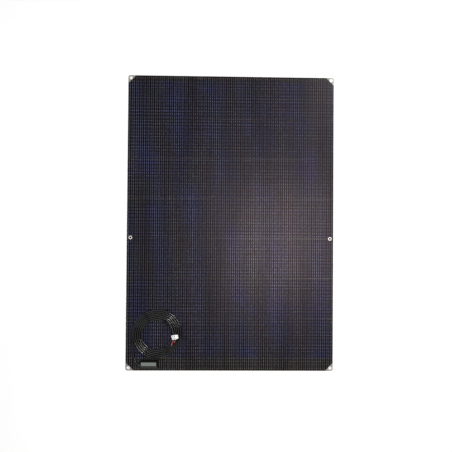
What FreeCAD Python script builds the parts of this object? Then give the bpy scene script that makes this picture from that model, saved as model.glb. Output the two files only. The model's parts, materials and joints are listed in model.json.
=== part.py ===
import FreeCAD, Part
import math
import os

import Sketcher
from FreeCAD import Placement, Rotation, Vector

# A flexible solar sheet in millimetres. +X is to the right and +Y to the top of the sheet as seen from
# its cells' side, and +Z stands out of that side. The origin is the middle of the flat back face.

# ---------------------------------------------------------------- driving dimensions

SIZES = (
    # the laminate and its plate
    ("plate_width", 660.0, "backing sheet, left to right"),
    ("plate_length", 941.0, "backing sheet, bottom to top"),
    ("plate_thick", 2.0, "backing sheet"),
    ("plate_corner", 6.0, "corner radius of the backing sheet"),
    ("laminate_inset", 0.75, "rim of bare metal round the laminate"),
    ("laminate_notch", 25.0, "leg of the laminate's 45 degree corner cuts, from the plate's edges"),
    ("film_thick", 0.2, "rear adhesive film, and insulation film"),
    ("rear_resin", 0.5, "encapsulant behind the cells"),
    ("front_resin", 0.5, "encapsulant round and over the cells"),
    ("skin_thick", 0.3, "textured front sheet"),
    # cells and their connectors
    ("cell_size", 125.0, "pseudo-square wafer, side to side"),
    ("cell_circle", 82.5, "radius of the ingot that rounds a wafer's corners"),
    ("cell_thick", 0.2, "wafer"),
    ("cell_pitch", 127.0, "from one cell to the next"),
    ("top_margin", 11.5, "from the plate's top edge to the first row's pitch line"),
    ("foil_thick", 0.12, "copper ribbons and interconnects"),
    ("ribbon_width", 3.0, "bus ribbon"),
    ("pad_width", 8.0, "soldered pad of an interconnect"),
    ("pad_reach", 4.0, "how far a pad reaches under a cell"),
    ("pad_spacing", 42.0, "between the pads of one cell edge"),
    ("bus_offset", 4.5, "from the end cells' edge to the bus ribbon's centre line"),
    ("lead_offset", 13.5, "from the bottom cells' edge to the return ribbon's centre line"),
    ("return_inset", 4.6, "from the plate's right edge to the return ribbon's centre line"),
    ("return_notch", 30.0, "leg of the return ribbon's corner cut, from the plate's edges"),
    # eyelets
    ("eyelet_inset", 8.5, "corner eyelets, from both edges"),
    ("side_eyelet_inset", 11.2, "side eyelets, from the edge"),
    ("eyelet_bore", 3.25, "radius of the open hole"),
    ("eyelet_wall", 0.5, "barrel"),
    ("eyelet_flange", 5.5, "radius of the front flange"),
    ("flange_thick", 0.8, "front flange"),
    ("lip_radius", 5.0, "radius of the rolled rear lip"),
    ("lip_thick", 0.4, "rolled rear lip, and washer"),
    ("washer_radius", 5.8, "washer"),
    ("eyelet_play", 0.1, "gap round the barrel and the washer"),
    # junction box
    ("box_mid_x", -254.0, "middle of the box's footprint"),
    ("box_mid_y", -451.25, "middle of the box's footprint"),
    ("box_length", 58.0, "footprint"),
    ("box_width", 27.5, "footprint"),
    ("box_skirt", 1.7, "upright edge below the slopes"),
    ("box_tall", 14.7, "from the bond pad to the top of the lid"),
    ("slope_left", 2.0, "how far the left side leans in"),
    ("slope_right", 5.5, "how far the right side leans in"),
    ("slope_low", 10.5, "how far the ramp on the lower side leans in"),
    ("slope_high", 3.5, "how far the upper side leans in"),
    ("pad_thick", 0.3, "bond pad under the box, and rating plate"),
    ("box_floor", 1.0, "floor of the base"),
    ("rim_height", 9.2, "rim of the base above the bond pad"),
    ("gasket_thick", 0.5, "lid gasket"),
    ("lid_roof", 1.6, "roof of the lid"),
    ("cavity_left", 2.8, "cavity, from the footprint's left"),
    ("cavity_right", 5.0, "cavity, from the footprint's right"),
    ("cavity_low", 7.6, "cavity, from the footprint's lower edge"),
    ("cavity_high", 3.5, "cavity, from the footprint's upper edge"),
    ("lip_play", 0.3, "gap round the lid's locating lip"),
    ("lip_wall", 1.0, "lid's locating lip"),
    ("lip_deep", 0.7, "how far the lip reaches below the gasket"),
    ("bar_width", 7.0, "terminal bars"),
    ("bar_thick", 0.8, "terminal bars"),
    ("bar_length", 9.0, "terminal bars"),
    ("bar_gap", 14.0, "from the box's middle to each bar's middle"),
    ("carrier_top", 3.0, "top of the terminal carrier above the bond pad"),
    ("tail_thick", 0.3, "folded foil tail that rises into the box"),
    ("diode_radius", 2.6, "bypass diode"),
    ("diode_length", 9.0, "bypass diode"),
    ("lead_radius", 0.5, "bypass diode's leads"),
    ("bond_pad_inset", 1.0, "bond pad inside the box's edge"),
    # cable
    ("cable_radius", 3.0, "two-core round cable"),
    ("core_radius", 1.3, "insulated core"),
    ("copper_radius", 0.9, "bare conductor"),
    ("boot_wide", 3.8, "strain relief at the box"),
    ("boot_narrow", 3.35, "strain relief at its tip"),
    ("boot_long", 5.5, "strain relief outside the box"),
    ("coil_mid_x", -231.6, "middle of the coil"),
    ("coil_mid_y", -354.8, "middle of the coil"),
    ("coil_inner", 44.8, "inside radius of the wound cable"),
    ("coil_outer", 82.2, "outside radius of the wound cable"),
    ("coil_lift", 0.7, "gap under the coil, taken up by the ties"),
    ("tie_width", 3.0, "cable tie"),
    ("tie_thick", 0.6, "cable tie"),
    ("tie_head", 4.6, "cable tie's head, square"),
    ("tie_head_tall", 2.8, "cable tie's head"),
    ("tie_head_at", 66.0, "cable tie's head from the coil's middle"),
    # terminal block at the cable's end
    ("block_mid_x", -173.7, "middle of the terminal block"),
    ("block_mid_y", -362.8, "middle of the terminal block"),
    ("block_turn", 12.0, "degrees the block lies turned"),
    ("block_low", 10.7, "underside of the block above the plate's back"),
    ("block_long", 13.6, "two poles, side to side"),
    ("block_wide", 14.0, "along the wires"),
    ("block_tall", 7.4, "body of the block, below its screw chimneys"),
    ("ear_long", 6.4, "fixing ear"),
    ("ear_wide", 11.6, "fixing ear"),
    ("ear_thick", 5.6, "fixing ear"),
    ("ear_hole", 1.2, "radius of the fixing ear's hole"),
    ("pole_pitch", 6.0, "between the two poles"),
    ("chimney_radius", 2.9, "screw chimneys outside"),
    ("chimney_tall", 3.2, "screw chimneys above the body"),
    ("insert_wide", 5.0, "brass insert"),
    ("insert_long", 12.0, "brass insert"),
    ("insert_low", 1.0, "insert above the block's underside"),
    ("insert_tall", 6.0, "brass insert"),
    ("insert_wall", 0.8, "brass insert's floor and sides"),
    ("insert_roof", 1.4, "threaded roof of the insert"),
    ("screw_spacing", 7.0, "between the two screws of a pole"),
    ("screw_radius", 1.4, "shank"),
    ("screw_play", 0.05, "between shank and thread"),
    ("head_radius", 1.9, "screw head"),
    ("head_play", 0.3, "between head and chimney"),
    ("head_thick", 1.5, "screw head"),
    ("slot_wide", 0.6, "screwdriver slot"),
    ("sleeve_wide", 10.4, "shrunk sleeve where it covers the two cores"),
    ("sleeve_flat", 4.0, "shrunk sleeve's thickness there"),
    ("sleeve_round", 6.78, "shrunk sleeve over the cable, width and thickness"),
    ("sleeve_axis", 3.1, "shrunk sleeve's axis above the block's underside"),
    ("sleeve_gap", 0.6, "between the block and the sleeve"),
    ("sleeve_reach", 13.5, "from the block to the sleeve's far end"),
    ("clamp_long", 3.0, "wire clamp"),
    ("clamp_thick", 0.5, "wire clamp"),
    ("clamp_play", 0.1, "gap beside and above the wire clamp"),
    ("ferrule_long", 5.5, "ferrule on a pigtail"),
)

doc = FreeCAD.newDocument("FlexibleSolarSheet")
sizes = doc.addObject("Spreadsheet::Sheet", "Sizes")
for line, (alias, value, meaning) in enumerate(SIZES, start=1):
    sizes.set(f"A{line}", meaning)
    sizes.set(f"B{line}", str(value))
    sizes.setAlias(f"B{line}", alias)
doc.recompute()


class Dim:
    """A size: its value in millimetres, and the expression that binds it to the sheet."""

    def __init__(self, text, value):
        self.text = text
        self.value = value

    def join(self, sign, other, value):
        text = other.text if isinstance(other, Dim) else repr(float(other))
        return Dim(f"({self.text} {sign} {text})", value)

    def __add__(self, other):
        return self.join("+", other, self.value + number(other))

    def __sub__(self, other):
        return self.join("-", other, self.value - number(other))

    def __mul__(self, other):
        return self.join("*", other, self.value * number(other))

    def __truediv__(self, other):
        return self.join("/", other, self.value / number(other))

    def __neg__(self):
        return Dim(f"(-1 * {self.text})", -self.value)


def number(size):
    """The value of a Dim or of a plain number."""
    return size.value if isinstance(size, Dim) else float(size)


def named(alias):
    """The sheet's cell of this name as a Dim."""
    return Dim(f"Sizes.{alias}", float(getattr(sizes, alias)))


S = {alias: named(alias) for alias, _, _ in SIZES}
ZERO = Dim("0", 0.0)


def bind(thing, path, size):
    """Ties one of an object's properties to the sheet, or sets a plain number."""
    dim = size if isinstance(size, Dim) else ZERO + size
    thing.setExpression(path, dim.text)


# ---------------------------------------------------------------- levels and lines shared by the pieces

half_width = S["plate_width"] / 2
half_length = S["plate_length"] / 2
z_film = S["plate_thick"]
z_insulation = z_film + S["film_thick"]
z_rear_resin = z_insulation + S["film_thick"]
z_cells = z_rear_resin + S["rear_resin"]
z_foil = z_cells - S["foil_thick"]
z_skin = z_cells + S["front_resin"]
z_front = z_skin + S["skin_thick"]
z_box = z_front + S["pad_thick"]

COLUMNS = 5
ROWS = 7
field_top = half_length - S["top_margin"]
field_bottom = field_top - S["cell_pitch"] * ROWS
cell_gap = (S["cell_pitch"] - S["cell_size"]) / 2
seam_of_side_eyelets = field_top - S["cell_pitch"] * 4

box_left = S["box_mid_x"] - S["box_length"] / 2
box_right = S["box_mid_x"] + S["box_length"] / 2
box_low = S["box_mid_y"] - S["box_width"] / 2
box_high = S["box_mid_y"] + S["box_width"] / 2
cavity_x = (box_left + S["cavity_left"], box_right - S["cavity_right"])
cavity_y = (box_low + S["cavity_low"], box_high - S["cavity_high"])
z_rim = z_box + S["rim_height"]
z_lid = z_rim + S["gasket_thick"]
z_roof = z_box + S["box_tall"]
z_bars = z_box + S["carrier_top"]

z_coil = z_front + S["coil_lift"]
z_coil_top = z_coil + S["cable_radius"] * 2

NODES = []


def node(thing, name):
    """Marks an object as one of the finished sub-parts."""
    thing.Label = name
    NODES.append(thing)
    return thing


def column_x(column):
    """Middle of a column of cells, counted from the left."""
    return S["cell_pitch"] * (column - (COLUMNS - 1) / 2)


def row_y(row):
    """Middle of a row of cells, counted from the top."""
    return field_top - S["cell_pitch"] * (row + 0.5)


# ---------------------------------------------------------------- builders


def place(thing, x, y, z):
    for axis, size in zip("xyz", (x, y, z)):
        bind(thing, f"Placement.Base.{axis}", size)
    return thing


def box(name, x, y, z):
    """A box from its (low, high) pairs."""
    solid = doc.addObject("Part::Box", name)
    for side, (low, high) in zip(("Length", "Width", "Height"), (x, y, z)):
        bind(solid, side, high - low)
    return place(solid, x[0], y[0], z[0])


def around(middle, width):
    """The (low, high) pair of a width centred on a middle."""
    middle = middle if isinstance(middle, Dim) else ZERO + middle
    half = width / 2
    return (middle - half, middle + half)


def cylinder(name, x, y, z, radius):
    """An upright cylinder between z's two levels."""
    solid = doc.addObject("Part::Cylinder", name)
    bind(solid, "Radius", radius)
    bind(solid, "Height", z[1] - z[0])
    return place(solid, x, y, z[0])


def lying(name, start, end, radius, end_radius=None):
    """A round bar or cone between two points given as plain numbers."""
    start, end = Vector(*start), Vector(*end)
    kind = "Part::Cylinder" if end_radius is None else "Part::Cone"
    solid = doc.addObject(kind, name)
    if end_radius is None:
        bind(solid, "Radius", radius)
    else:
        bind(solid, "Radius1", radius)
        bind(solid, "Radius2", end_radius)
    solid.Height = (end - start).Length
    solid.Placement = Placement(start, Rotation(Vector(0, 0, 1), end - start))
    return solid


def group(name, parts):
    solid = doc.addObject("Part::Compound", name)
    solid.Links = parts
    return solid


def fuse(name, parts):
    solid = doc.addObject("Part::MultiFuse", name)
    solid.Shapes = parts
    solid.Refine = True
    return solid


def cut(name, base, tools):
    """base less the tools, which don't overlap each other."""
    solid = doc.addObject("Part::Cut", name)
    solid.Base = base
    solid.Tool = tools[0] if len(tools) == 1 else group(f"{name}_tools", tools)
    return solid


def common(name, base, tool):
    solid = doc.addObject("Part::Common", name)
    solid.Base = base
    solid.Tool = tool
    return solid


def slab(name, outline, z, holes=(), corner=None):
    """A body padded from a closed outline of (x, y) Dims, with (x, y, radius) holes."""
    body = doc.addObject("PartDesign::Body", name)
    sketch = body.newObject("Sketcher::SketchObject", f"{name}_outline")
    plane = next(p for p in body.Origin.OriginFeatures if p.Role == "XY_Plane")
    sketch.AttachmentSupport = (plane, "")
    sketch.MapMode = "FlatFace"
    corners = [Vector(number(x), number(y), 0) for x, y in outline]
    ends = corners[1:] + corners[:1]
    sketch.addGeometry([Part.LineSegment(a, b) for a, b in zip(corners, ends)], False)
    for i, (x, y) in enumerate(outline):
        sketch.addConstraint(Sketcher.Constraint("Coincident", i, 2, (i + 1) % len(outline), 1))
        pin_point(sketch, i, 1, x, y)
    for x, y, radius in holes:
        circle = Part.Circle(Vector(number(x), number(y), 0), Vector(0, 0, 1), number(radius))
        i = sketch.addGeometry(circle, False)
        pin_point(sketch, i, 3, x, y)
        at = sketch.addConstraint(Sketcher.Constraint("Radius", i, number(radius)))
        bind(sketch, f"Constraints[{at}]", radius)
    pad = body.newObject("PartDesign::Pad", f"{name}_pad")
    pad.Profile = sketch
    bind(pad, "Length", z[1] - z[0])
    bind(body, "Placement.Base.z", z[0])
    if corner is not None:
        doc.recompute()
        edges = [i for i, edge in enumerate(pad.Shape.Edges, start=1) if stands_on(edge, corners)]
        fillet = body.newObject("PartDesign::Fillet", f"{name}_corners")
        fillet.Base = (pad, [f"Edge{i}" for i in edges])
        bind(fillet, "Radius", corner)
    return body


def pin_point(sketch, geometry, point, x, y):
    """Holds a sketch point at its two coordinates."""
    for kind, size in (("DistanceX", x), ("DistanceY", y)):
        at = sketch.addConstraint(Sketcher.Constraint(kind, -1, 1, geometry, point, number(size)))
        bind(sketch, f"Constraints[{at}]", size)


def stands_on(edge, corners):
    """True for an upright edge over one of these corners."""
    a, b = (v.Point for v in edge.Vertexes) if len(edge.Vertexes) == 2 else (Vector(), Vector())
    upright = abs(a.z - b.z) > 0.01 and a.distanceToPoint(Vector(b.x, b.y, a.z)) < 0.001
    return upright and any(Vector(a.x, a.y, 0).distanceToPoint(c) < 0.001 for c in corners)


def rectangle(x, y):
    return [(x[0], y[0]), (x[1], y[0]), (x[1], y[1]), (x[0], y[1])]


def rounded_path(points):
    """A wire of straight runs joined by tangent arcs, its arcs' radii, and its corners' turns."""
    points = [Vector(*p) for p in points]
    edges, radii, last = [], [], points[0]
    for before, corner, after in zip(points, points[1:], points[2:]):
        way_in, way_out = corner - before, after - corner
        reach = 0.45 * min(way_in.Length, way_out.Length)
        half_turn = way_in.getAngle(way_out) / 2
        start = corner - way_in.normalize() * reach
        end = corner + way_out.normalize() * reach
        radius = reach / math.tan(half_turn)
        inward = (way_out - way_in).normalize()
        middle = corner + inward * (radius / math.cos(half_turn) - radius)
        edges += [Part.LineSegment(last, start).toShape(), Part.Arc(start, middle, end).toShape()]
        radii.append(radius)
        last = end
    edges.append(Part.LineSegment(last, points[-1]).toShape())
    return Part.Wire(edges), radii


def tube(name, points, radius):
    """A round tube along a rounded path, checked against its section times its length."""
    path, radii = rounded_path(points)
    start = Vector(*points[0])
    along = Vector(*points[1]) - start
    ring = Part.Wire(Part.makeCircle(number(radius), start, along))
    solid = doc.addObject("Part::Feature", name)
    solid.Shape = path.makePipeShell([ring], True, False)
    expected = math.pi * number(radius) ** 2 * path.Length
    if abs(solid.Shape.Volume / expected - 1) > 0.01:
        raise ValueError(f"{name}: volume {solid.Shape.Volume:.1f}, not {expected:.1f}")
    print(f"{name}: {path.Length:.1f} mm long, radii", [round(r, 1) for r in radii])
    return solid


# ---------------------------------------------------------------- plate and laminate

corner_holes = [
    ((half_width - S["eyelet_inset"]) * right, (half_length - S["eyelet_inset"]) * up)
    for right in (-1, 1)
    for up in (-1, 1)
]
side_holes = [
    ((half_width - S["side_eyelet_inset"]) * right, seam_of_side_eyelets) for right in (-1, 1)
]
barrel_radius = S["eyelet_bore"] + S["eyelet_wall"]
hole_radius = barrel_radius + S["eyelet_play"]
washer_seat = S["washer_radius"] + S["eyelet_play"]

LAMINATE_OUTLINE = []
OUTLINE_ORDER = (
    (1, -1, 0), (1, -1, 1), (1, 1, 1), (1, 1, 0), (-1, 1, 0), (-1, 1, 1), (-1, -1, 1), (-1, -1, 0),
)
for right, up, along in OUTLINE_ORDER:
    edge_x = half_width - (S["laminate_inset"] if along else S["laminate_notch"])
    edge_y = half_length - (S["laminate_notch"] if along else S["laminate_inset"])
    LAMINATE_OUTLINE.append((edge_x * right, edge_y * up))


def laminate_layer(name, z):
    return slab(name, LAMINATE_OUTLINE, z, [(x, y, hole_radius) for x, y in side_holes])


def make_backing_sheet():
    blank = slab(
        "plate_blank",
        rectangle((-half_width, half_width), (-half_length, half_length)),
        (ZERO, z_film),
        [(x, y, hole_radius) for x, y in corner_holes + side_holes],
        corner=S["plate_corner"],
    )
    deep = S["lip_thick"] * 2
    seats = [
        cylinder(f"washer_seat_{i}", x, y, (ZERO, deep), washer_seat)
        for i, (x, y) in enumerate(corner_holes + side_holes, start=1)
    ]
    node(cut("backing_sheet", blank, seats), "backing_sheet")


def make_films():
    node(laminate_layer("rear_adhesive_film", (z_film, z_insulation)), "rear_adhesive_film")
    node(laminate_layer("insulation_film", (z_insulation, z_rear_resin)), "insulation_film")


def make_cells():
    """Five strings of seven wafers, each wafer a square cut from a round ingot."""
    strings = []
    z = (z_cells, z_cells + S["cell_thick"])
    for column in range(COLUMNS):
        wafers = []
        for row in range(ROWS):
            at = f"{column + 1}_{row + 1}"
            x, y = column_x(column), row_y(row)
            square = box(f"wafer_square_{at}", around(x, S["cell_size"]), around(y, S["cell_size"]), z)
            ingot = cylinder(f"ingot_{at}", x, y, z, S["cell_circle"])
            wafers.append(common(f"wafer_{at}", square, ingot))
        name = f"cell_string_{column + 1}"
        strings.append(node(group(name, wafers), name))
    return strings


def pads(name, x, y):
    """The three soldered pads along one cell edge, reaching between y's two lines."""
    return [
        box(f"{name}_pad_{i + 2}", around(x + S["pad_spacing"] * i, S["pad_width"]), y, (z_foil, z_cells))
        for i in (-1, 0, 1)
    ]


def make_interconnects():
    """Dog-bone straps behind each seam between two cells of a string."""
    straps = []
    reach = cell_gap + S["pad_reach"]
    for column in range(COLUMNS):
        for row in range(ROWS - 1):
            name = f"strap_{column + 1}_{row + 1}"
            x = column_x(column)
            seam = row_y(row) - S["cell_pitch"] / 2
            length = S["pad_spacing"] * 2 + S["pad_width"]
            bridge = box(f"{name}_bridge", around(x, length), around(seam, cell_gap * 2), (z_foil, z_cells))
            straps.append(fuse(name, [bridge, *pads(name, x, (seam - reach, seam + reach))]))
    return node(group("cell_interconnects", straps), "cell_interconnects")


def end_edge(up):
    """The outer edge line of the strings' end cells, at the top (1) or the bottom (-1)."""
    return field_top - cell_gap if up > 0 else field_bottom + cell_gap


def end_pads(name, column, up):
    """Pads that join a string's end cell to its bus ribbon."""
    edge = end_edge(up)
    inner = edge - S["pad_reach"] * up
    outer = edge + S["bus_offset"] * up
    return pads(name, column_x(column), (inner, outer) if up > 0 else (outer, inner))


def bus_line(up):
    return around(end_edge(up) + S["bus_offset"] * up, S["ribbon_width"])


def make_string_buses():
    """Ribbons that join neighbouring strings, at the top and the bottom in turn."""
    ribbons = []
    for column in range(COLUMNS - 1):
        up = 1 if column % 2 == 0 else -1
        name = f"bus_{column + 1}"
        reach = S["pad_spacing"] + S["pad_width"] / 2
        x = (column_x(column) - reach, column_x(column + 1) + reach)
        bar = box(f"{name}_bar", x, bus_line(up), (z_foil, z_cells))
        tabs = end_pads(f"{name}_a", column, up) + end_pads(f"{name}_b", column + 1, up)
        ribbons.append(fuse(name, [bar, *tabs]))
    return node(group("string_bus_ribbons", ribbons), "string_bus_ribbons")


def tail_x(side):
    """Middle of a foil tail in the box: -1 for positive, 1 for negative."""
    return S["box_mid_x"] + S["bar_gap"] * side


tail_y = field_bottom + cell_gap - S["lead_offset"]


def foil_tail(name, side):
    """The folded end of a lead ribbon, standing up into the box beside its terminal bar."""
    x = around(tail_x(side), S["ribbon_width"])
    return box(name, x, around(tail_y, S["tail_thick"]), (z_foil, z_bars + S["bar_thick"]))


def make_lead_ribbons():
    foil = (z_foil, z_cells)
    reach = S["pad_spacing"] + S["pad_width"] / 2
    first, last = column_x(0), column_x(COLUMNS - 1)
    bar = box("positive_bar", (first - reach, first + reach), bus_line(-1), foil)
    branch = box("positive_branch", around(tail_x(-1), S["ribbon_width"]), (tail_y, bus_line(-1)[0]), foil)
    tabs = end_pads("positive", 0, -1)
    positive = fuse("positive_lead_ribbon", [bar, branch, foil_tail("positive_tail", -1), *tabs])

    half = S["ribbon_width"] / 2
    right = half_width - S["return_inset"]
    top = end_edge(1) + S["bus_offset"]
    # the diagonal over the cut corner keeps the ribbon's width
    diagonal = half_width + half_length - S["return_notch"]
    spread = half * math.sqrt(2)
    outline = [
        (last - reach, top - half),
        (diagonal - spread - (top - half), top - half),
        (right - half, diagonal - spread - (right - half)),
        (right - half, tail_y + half),
        (tail_x(1) - half, tail_y + half),
        (tail_x(1) - half, tail_y - half),
        (right + half, tail_y - half),
        (right + half, diagonal + spread - (right + half)),
        (diagonal + spread - (top + half), top + half),
        (last - reach, top + half),
    ]
    run = slab("return_run", outline, foil)
    tabs = end_pads("negative", COLUMNS - 1, 1)
    negative = fuse("negative_lead_ribbon", [run, foil_tail("negative_tail", 1), *tabs])
    return [node(positive, "positive_lead_ribbon"), node(negative, "negative_lead_ribbon")]


def tail_slots(name, z):
    """Slots that the two foil tails rise through."""
    y = around(tail_y, S["tail_thick"])
    return [
        box(f"{name}_slot_{word}", around(tail_x(side), S["ribbon_width"]), y, z)
        for side, word in ((-1, "positive"), (1, "negative"))
    ]


def make_laminate():
    strings = make_cells()
    foils = [make_interconnects(), make_string_buses(), *make_lead_ribbons()]
    rear = laminate_layer("rear_resin_blank", (z_rear_resin, z_cells))
    node(cut("rear_encapsulant", rear, foils), "rear_encapsulant")
    front = laminate_layer("front_resin_blank", (z_cells, z_skin))
    node(
        cut("front_encapsulant", front, strings + tail_slots("front_resin", (z_cells, z_skin))),
        "front_encapsulant",
    )
    skin = laminate_layer("front_skin_blank", (z_skin, z_front))
    node(cut("front_sheet", skin, tail_slots("front_skin", (z_skin, z_front))), "front_sheet")


# ---------------------------------------------------------------- eyelets


def eyelet(name, x, y, top):
    """One eyelet whose flange sits on the level called top and whose rear lip is flush with z = 0."""
    barrel = cylinder(f"{name}_barrel", x, y, (ZERO, top), barrel_radius)
    flange = cylinder(f"{name}_flange", x, y, (top, top + S["flange_thick"]), S["eyelet_flange"])
    lip = cylinder(f"{name}_lip", x, y, (ZERO, S["lip_thick"]), S["lip_radius"])
    body = fuse(f"{name}_body", [barrel, flange, lip])
    bore = cylinder(f"{name}_bore", x, y, (ZERO, top + S["flange_thick"]), S["eyelet_bore"])
    bored = cut(f"{name}_bored", body, [bore])
    doc.recompute()
    rolled = doc.addObject("Part::Fillet", name)
    rolled.Base = bored
    level = number(top + S["flange_thick"])
    radius = number(S["eyelet_flange"])
    roll = number(S["flange_thick"]) * 0.6
    rims = [
        i
        for i, edge in enumerate(bored.Shape.Edges, start=1)
        if isinstance(edge.Curve, Part.Circle)
        and abs(edge.Curve.Radius - radius) < 0.001
        and abs(edge.Curve.Center.z - level) < 0.001
    ]
    rolled.Edges = [(i, roll, roll) for i in rims]
    return rolled


def washer(name, x, y):
    z = (S["lip_thick"], S["lip_thick"] * 2)
    disc = cylinder(f"{name}_disc", x, y, z, S["washer_radius"])
    hole = cylinder(f"{name}_hole", x, y, z, barrel_radius)
    return cut(name, disc, [hole])


def make_eyelets():
    for word, holes, top in (("corner", corner_holes, z_film), ("side", side_holes, z_front)):
        eyelets = [eyelet(f"{word}_eyelet_{i}", x, y, top) for i, (x, y) in enumerate(holes, start=1)]
        washers = [washer(f"{word}_washer_{i}", x, y) for i, (x, y) in enumerate(holes, start=1)]
        node(group(f"{word}_eyelets", eyelets), f"{word}_eyelets")
        node(group(f"{word}_eyelet_washers", washers), f"{word}_eyelet_washers")


# ---------------------------------------------------------------- junction box

EXIT_TURN = math.radians(160)  # the cable leaves the box's left end aslant
EXIT = (-282.0, -453.2, 8.6)  # where the cable's line passes the left wall
exit_way = Vector(math.cos(EXIT_TURN), math.sin(EXIT_TURN), 0)


def along_exit(distance):
    """A point on the cable's line, this far outside the left wall."""
    return tuple(Vector(*EXIT) + exit_way * distance)


def box_outer(name):
    """The box's whole outer form: an upright skirt and four sides that lean in."""
    skirt_z = (z_box, z_box + S["box_skirt"])
    skirt = box(f"{name}_skirt", (box_left, box_right), (box_low, box_high), skirt_z)
    # a wedge tapers along its own Y axis, which is stood up here; its Z axis then points to -Y
    slopes = doc.addObject("Part::Wedge", f"{name}_slopes")
    sides = {
        "Xmin": box_left,
        "Xmax": box_right,
        "Ymin": z_box + S["box_skirt"],
        "Ymax": z_roof,
        "Zmin": -box_high,
        "Zmax": -box_low,
        "X2min": box_left + S["slope_left"],
        "X2max": box_right - S["slope_right"],
        "Z2min": -(box_high - S["slope_high"]),
        "Z2max": -(box_low + S["slope_low"]),
    }
    for side, size in sides.items():
        setattr(slopes, side, number(size))
        bind(slopes, side, size)
    slopes.Placement = Placement(Vector(), Rotation(Vector(1, 0, 0), 90))
    return fuse(f"{name}_outer", [skirt, slopes])


def between(name, z):
    """A block that takes in the whole box between two levels."""
    margin = S["box_width"]
    return box(name, (box_left - margin, box_right + margin), (box_low - margin, box_high + margin), z)


def soften(name, solid, radius, picks):
    """Rounds the edges that picks chooses."""
    doc.recompute()
    rounded = doc.addObject("Part::Fillet", name)
    rounded.Base = solid
    rounded.Edges = [
        (i, radius, radius) for i, edge in enumerate(solid.Shape.Edges, start=1) if picks(edge)
    ]
    return rounded


def upright(edge):
    return abs(edge.Vertexes[0].Z - edge.Vertexes[-1].Z) > 0.1


def inset(pair, by):
    return (pair[0] + by, pair[1] - by)


def make_box():
    pad_x = inset((box_left, box_right), S["bond_pad_inset"])
    pad_y = inset((box_low, box_high), S["bond_pad_inset"])
    pad = box("bond_pad_blank", pad_x, pad_y, (z_front, z_box))
    node(cut("box_bond_pad", pad, tail_slots("bond_pad", (z_front, z_box))), "box_bond_pad")
    outer = box_outer("box")
    lower = common("base_blank", outer, between("base_cut", (z_box, z_rim)))
    cavity = box("base_cavity", cavity_x, cavity_y, (z_box + S["box_floor"], z_rim))
    entry = lying("cable_entry", along_exit(-5.0), along_exit(8.0), S["boot_wide"])
    hollow = fuse("base_hollow", [cavity, entry])
    floor_slots = tail_slots("base_floor", (z_box, z_box + S["box_floor"]))
    base = cut("junction_box_base_open", lower, [hollow])
    node(cut("junction_box_base", base, floor_slots), "junction_box_base")

    rim = common("gasket_blank", outer, between("gasket_cut", (z_rim, z_lid)))
    window = box("gasket_window", cavity_x, cavity_y, (z_rim, z_lid))
    node(cut("lid_gasket", rim, [window]), "lid_gasket")

    cap = common("lid_blank", outer, between("lid_cut", (z_lid, z_roof)))
    lip_x = inset(cavity_x, S["lip_play"])
    lip_y = inset(cavity_y, S["lip_play"])
    lip = box("lid_lip", lip_x, lip_y, (z_rim - S["lip_deep"], z_lid))
    room_z = (z_rim - S["lip_deep"], z_roof - S["lid_roof"])
    room = box("lid_room", inset(lip_x, S["lip_wall"]), inset(lip_y, S["lip_wall"]), room_z)
    lid = cut("lid_shell", fuse("lid_body", [cap, lip]), [room])
    top = number(z_roof)
    node(
        soften(
            "junction_box_lid",
            lid,
            0.8,
            lambda edge: all(abs(v.Point.z - top) < 0.001 for v in edge.Vertexes),
        ),
        "junction_box_lid",
    )
    plate_x = (box_left + S["slope_left"] + 1.4, box_right - S["slope_right"] - 1.3)
    plate_y = (box_low + S["slope_low"] + 1.3, box_high - S["slope_high"] - 1.3)
    plate = box("rating_plate_blank", plate_x, plate_y, (z_roof, z_roof + S["pad_thick"]))
    node(soften("rating_plate", plate, 0.8, upright), "rating_plate")


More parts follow.
